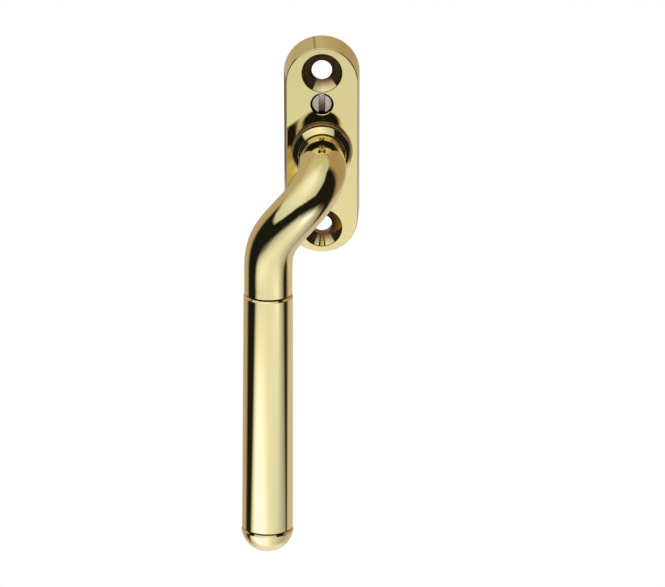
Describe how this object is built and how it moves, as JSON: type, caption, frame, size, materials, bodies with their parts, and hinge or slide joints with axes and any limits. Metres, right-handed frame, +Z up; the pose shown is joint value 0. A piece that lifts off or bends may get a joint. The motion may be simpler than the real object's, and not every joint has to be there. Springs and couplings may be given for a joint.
{
  "type": "espagnolette window handle",
  "caption": "Cranked espagnolette window handle on an oval plate, with a slotted lock barrel and a square spindle.",
  "frame": {"origin": "on the spindle's axis at the back face of the plate, halfway between the two fixing holes", "axes": "+Y along the spindle away from the room and into the window, -Y towards the room, +Z up along the plate, +X to the right as seen from the room; the lever points down"},
  "size_m": [0.0311, 0.0779, 0.13],
  "materials": {
    "polished_brass": "polished and lacquered",
    "nickel": "satin nickel plate",
    "zinc_steel": "bright zinc plate",
    "spring_steel": "phosphated spring steel",
    "black_nylon": "moulded matt",
    "black_rubber": "matt"
  },
  "bodies": {
    "plate": {"backplate": "polished_brass", "neck_bush": "black_nylon", "disc_spring": "spring_steel", "stop_pin": "zinc_steel", "cover_plate": "zinc_steel", "cover_screws": "zinc_steel"},
    "lever": {"crank_arm": "polished_brass", "grip_sleeve": "polished_brass", "end_cap": "polished_brass", "grip_tie_rod": "zinc_steel", "spindle": "zinc_steel", "spindle_pin": "spring_steel", "thrust_washer": "zinc_steel", "circlip": "spring_steel", "locking_disc": "zinc_steel"},
    "lock": {"lock_barrel": "nickel", "lock_o_ring": "black_rubber", "lock_drive_pin": "spring_steel"},
    "bolt": {"lock_bolt": "zinc_steel"}
  },
  "joints": [
    {"name": "lever_turn", "type": "hinge", "parent": "plate", "child": "lever", "pos_m": [0, 0, 0], "axis": [0, 1, 0], "range_deg": [0, 90]},
    {"name": "lock_turn", "type": "hinge", "parent": "plate", "child": "lock", "pos_m": [0, 0, 0.013], "axis": [0, 1, 0], "range_deg": [0, 90]},
    {"name": "lock_bolt_slide", "type": "slide", "parent": "plate", "child": "bolt", "axis": [0, 0, -1], "range_m": [0, 0.00212]}
  ],
  "couplings": [
    {"joint": "lock_turn", "follows": "lock_bolt_slide", "rad_per_m": 740.5}
  ]
}
